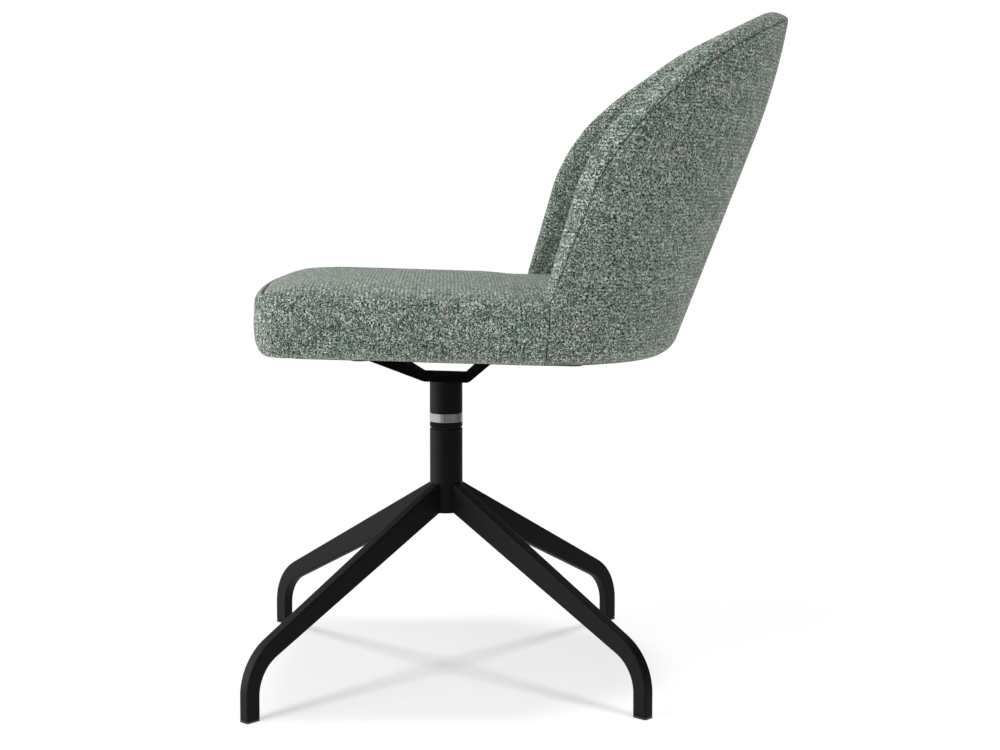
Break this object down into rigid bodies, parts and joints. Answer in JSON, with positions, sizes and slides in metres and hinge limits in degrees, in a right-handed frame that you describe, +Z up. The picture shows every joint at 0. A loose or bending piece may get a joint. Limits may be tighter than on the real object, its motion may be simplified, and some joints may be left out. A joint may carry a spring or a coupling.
{
  "type": "swivel_dining_chair",
  "caption": "Upholstered swivel dining chair with a wrapped arch-shaped back, on a black steel pedestal with splayed legs and a brushed ring",
  "frame": {"origin": "centre of the bounding box in plan, on the floor plane under the glides; the swivel axis stands 92.7 mm ahead of it", "axes": "+Z up; the sitter faces -Y; +X is on the sitter's left"},
  "size_m": [0.459, 0.6444, 0.8056],
  "materials": {
    "upholstery": "green and beige melange boucle weave, matt",
    "black_coat": "fine-grained black powder coat on steel",
    "brushed_ring": "stainless steel brushed round its axis",
    "bare_steel": "zinc-plated fasteners and a turned spindle",
    "black_plastic": "moulded black polyamide",
    "bearing_plastic": "natural acetal bearing plastic",
    "plywood": "unfinished beech plywood and beech rail",
    "dust_cloth": "black felted fibre sheet"
  },
  "bodies": {
    "base": {"pedestal_tube": "black_coat", "pedestal_end_cap": "black_plastic", "lower_bush": "bearing_plastic", "upper_bush": "bearing_plastic", "thrust_washer": "black_plastic", "leg_front_left": "black_coat", "glide_front_left": "black_plastic", "leg_front_right": "black_coat", "glide_front_right": "black_plastic", "leg_rear_left": "black_coat", "glide_rear_left": "black_plastic", "leg_rear_right": "black_coat", "glide_rear_right": "black_plastic"},
    "seat": {"swivel_collar": "black_coat", "trim_ring": "brushed_ring", "upper_tube": "black_coat", "spindle": "bare_steel", "retaining_washer": "bare_steel", "retaining_bolt": "bare_steel", "seat_bracket": "black_coat", "mounting_plate": "black_coat", "dust_cover": "dust_cloth", "seat_board": "plywood", "plate_bolt_front_left": "black_coat", "tee_nut_front_left": "bare_steel", "plate_bolt_front_right": "black_coat", "tee_nut_front_right": "bare_steel", "plate_bolt_rear_left": "black_coat", "tee_nut_rear_left": "bare_steel", "plate_bolt_rear_right": "black_coat", "tee_nut_rear_right": "bare_steel", "rail_screw_far_right": "bare_steel", "rail_screw_mid_right": "bare_steel", "rail_screw_mid_left": "bare_steel", "rail_screw_far_left": "bare_steel", "seat_cushion": "upholstery", "back_rail": "plywood", "back_core": "plywood", "back_outer_panel": "upholstery", "back_inner_pad": "upholstery"}
  },
  "joints": [
    {"name": "seat_swivel", "type": "hinge", "parent": "base", "child": "seat", "pos_m": [0, -0.09269, 0.2972], "axis": [0, 0, 1], "continuous": true}
  ]
}
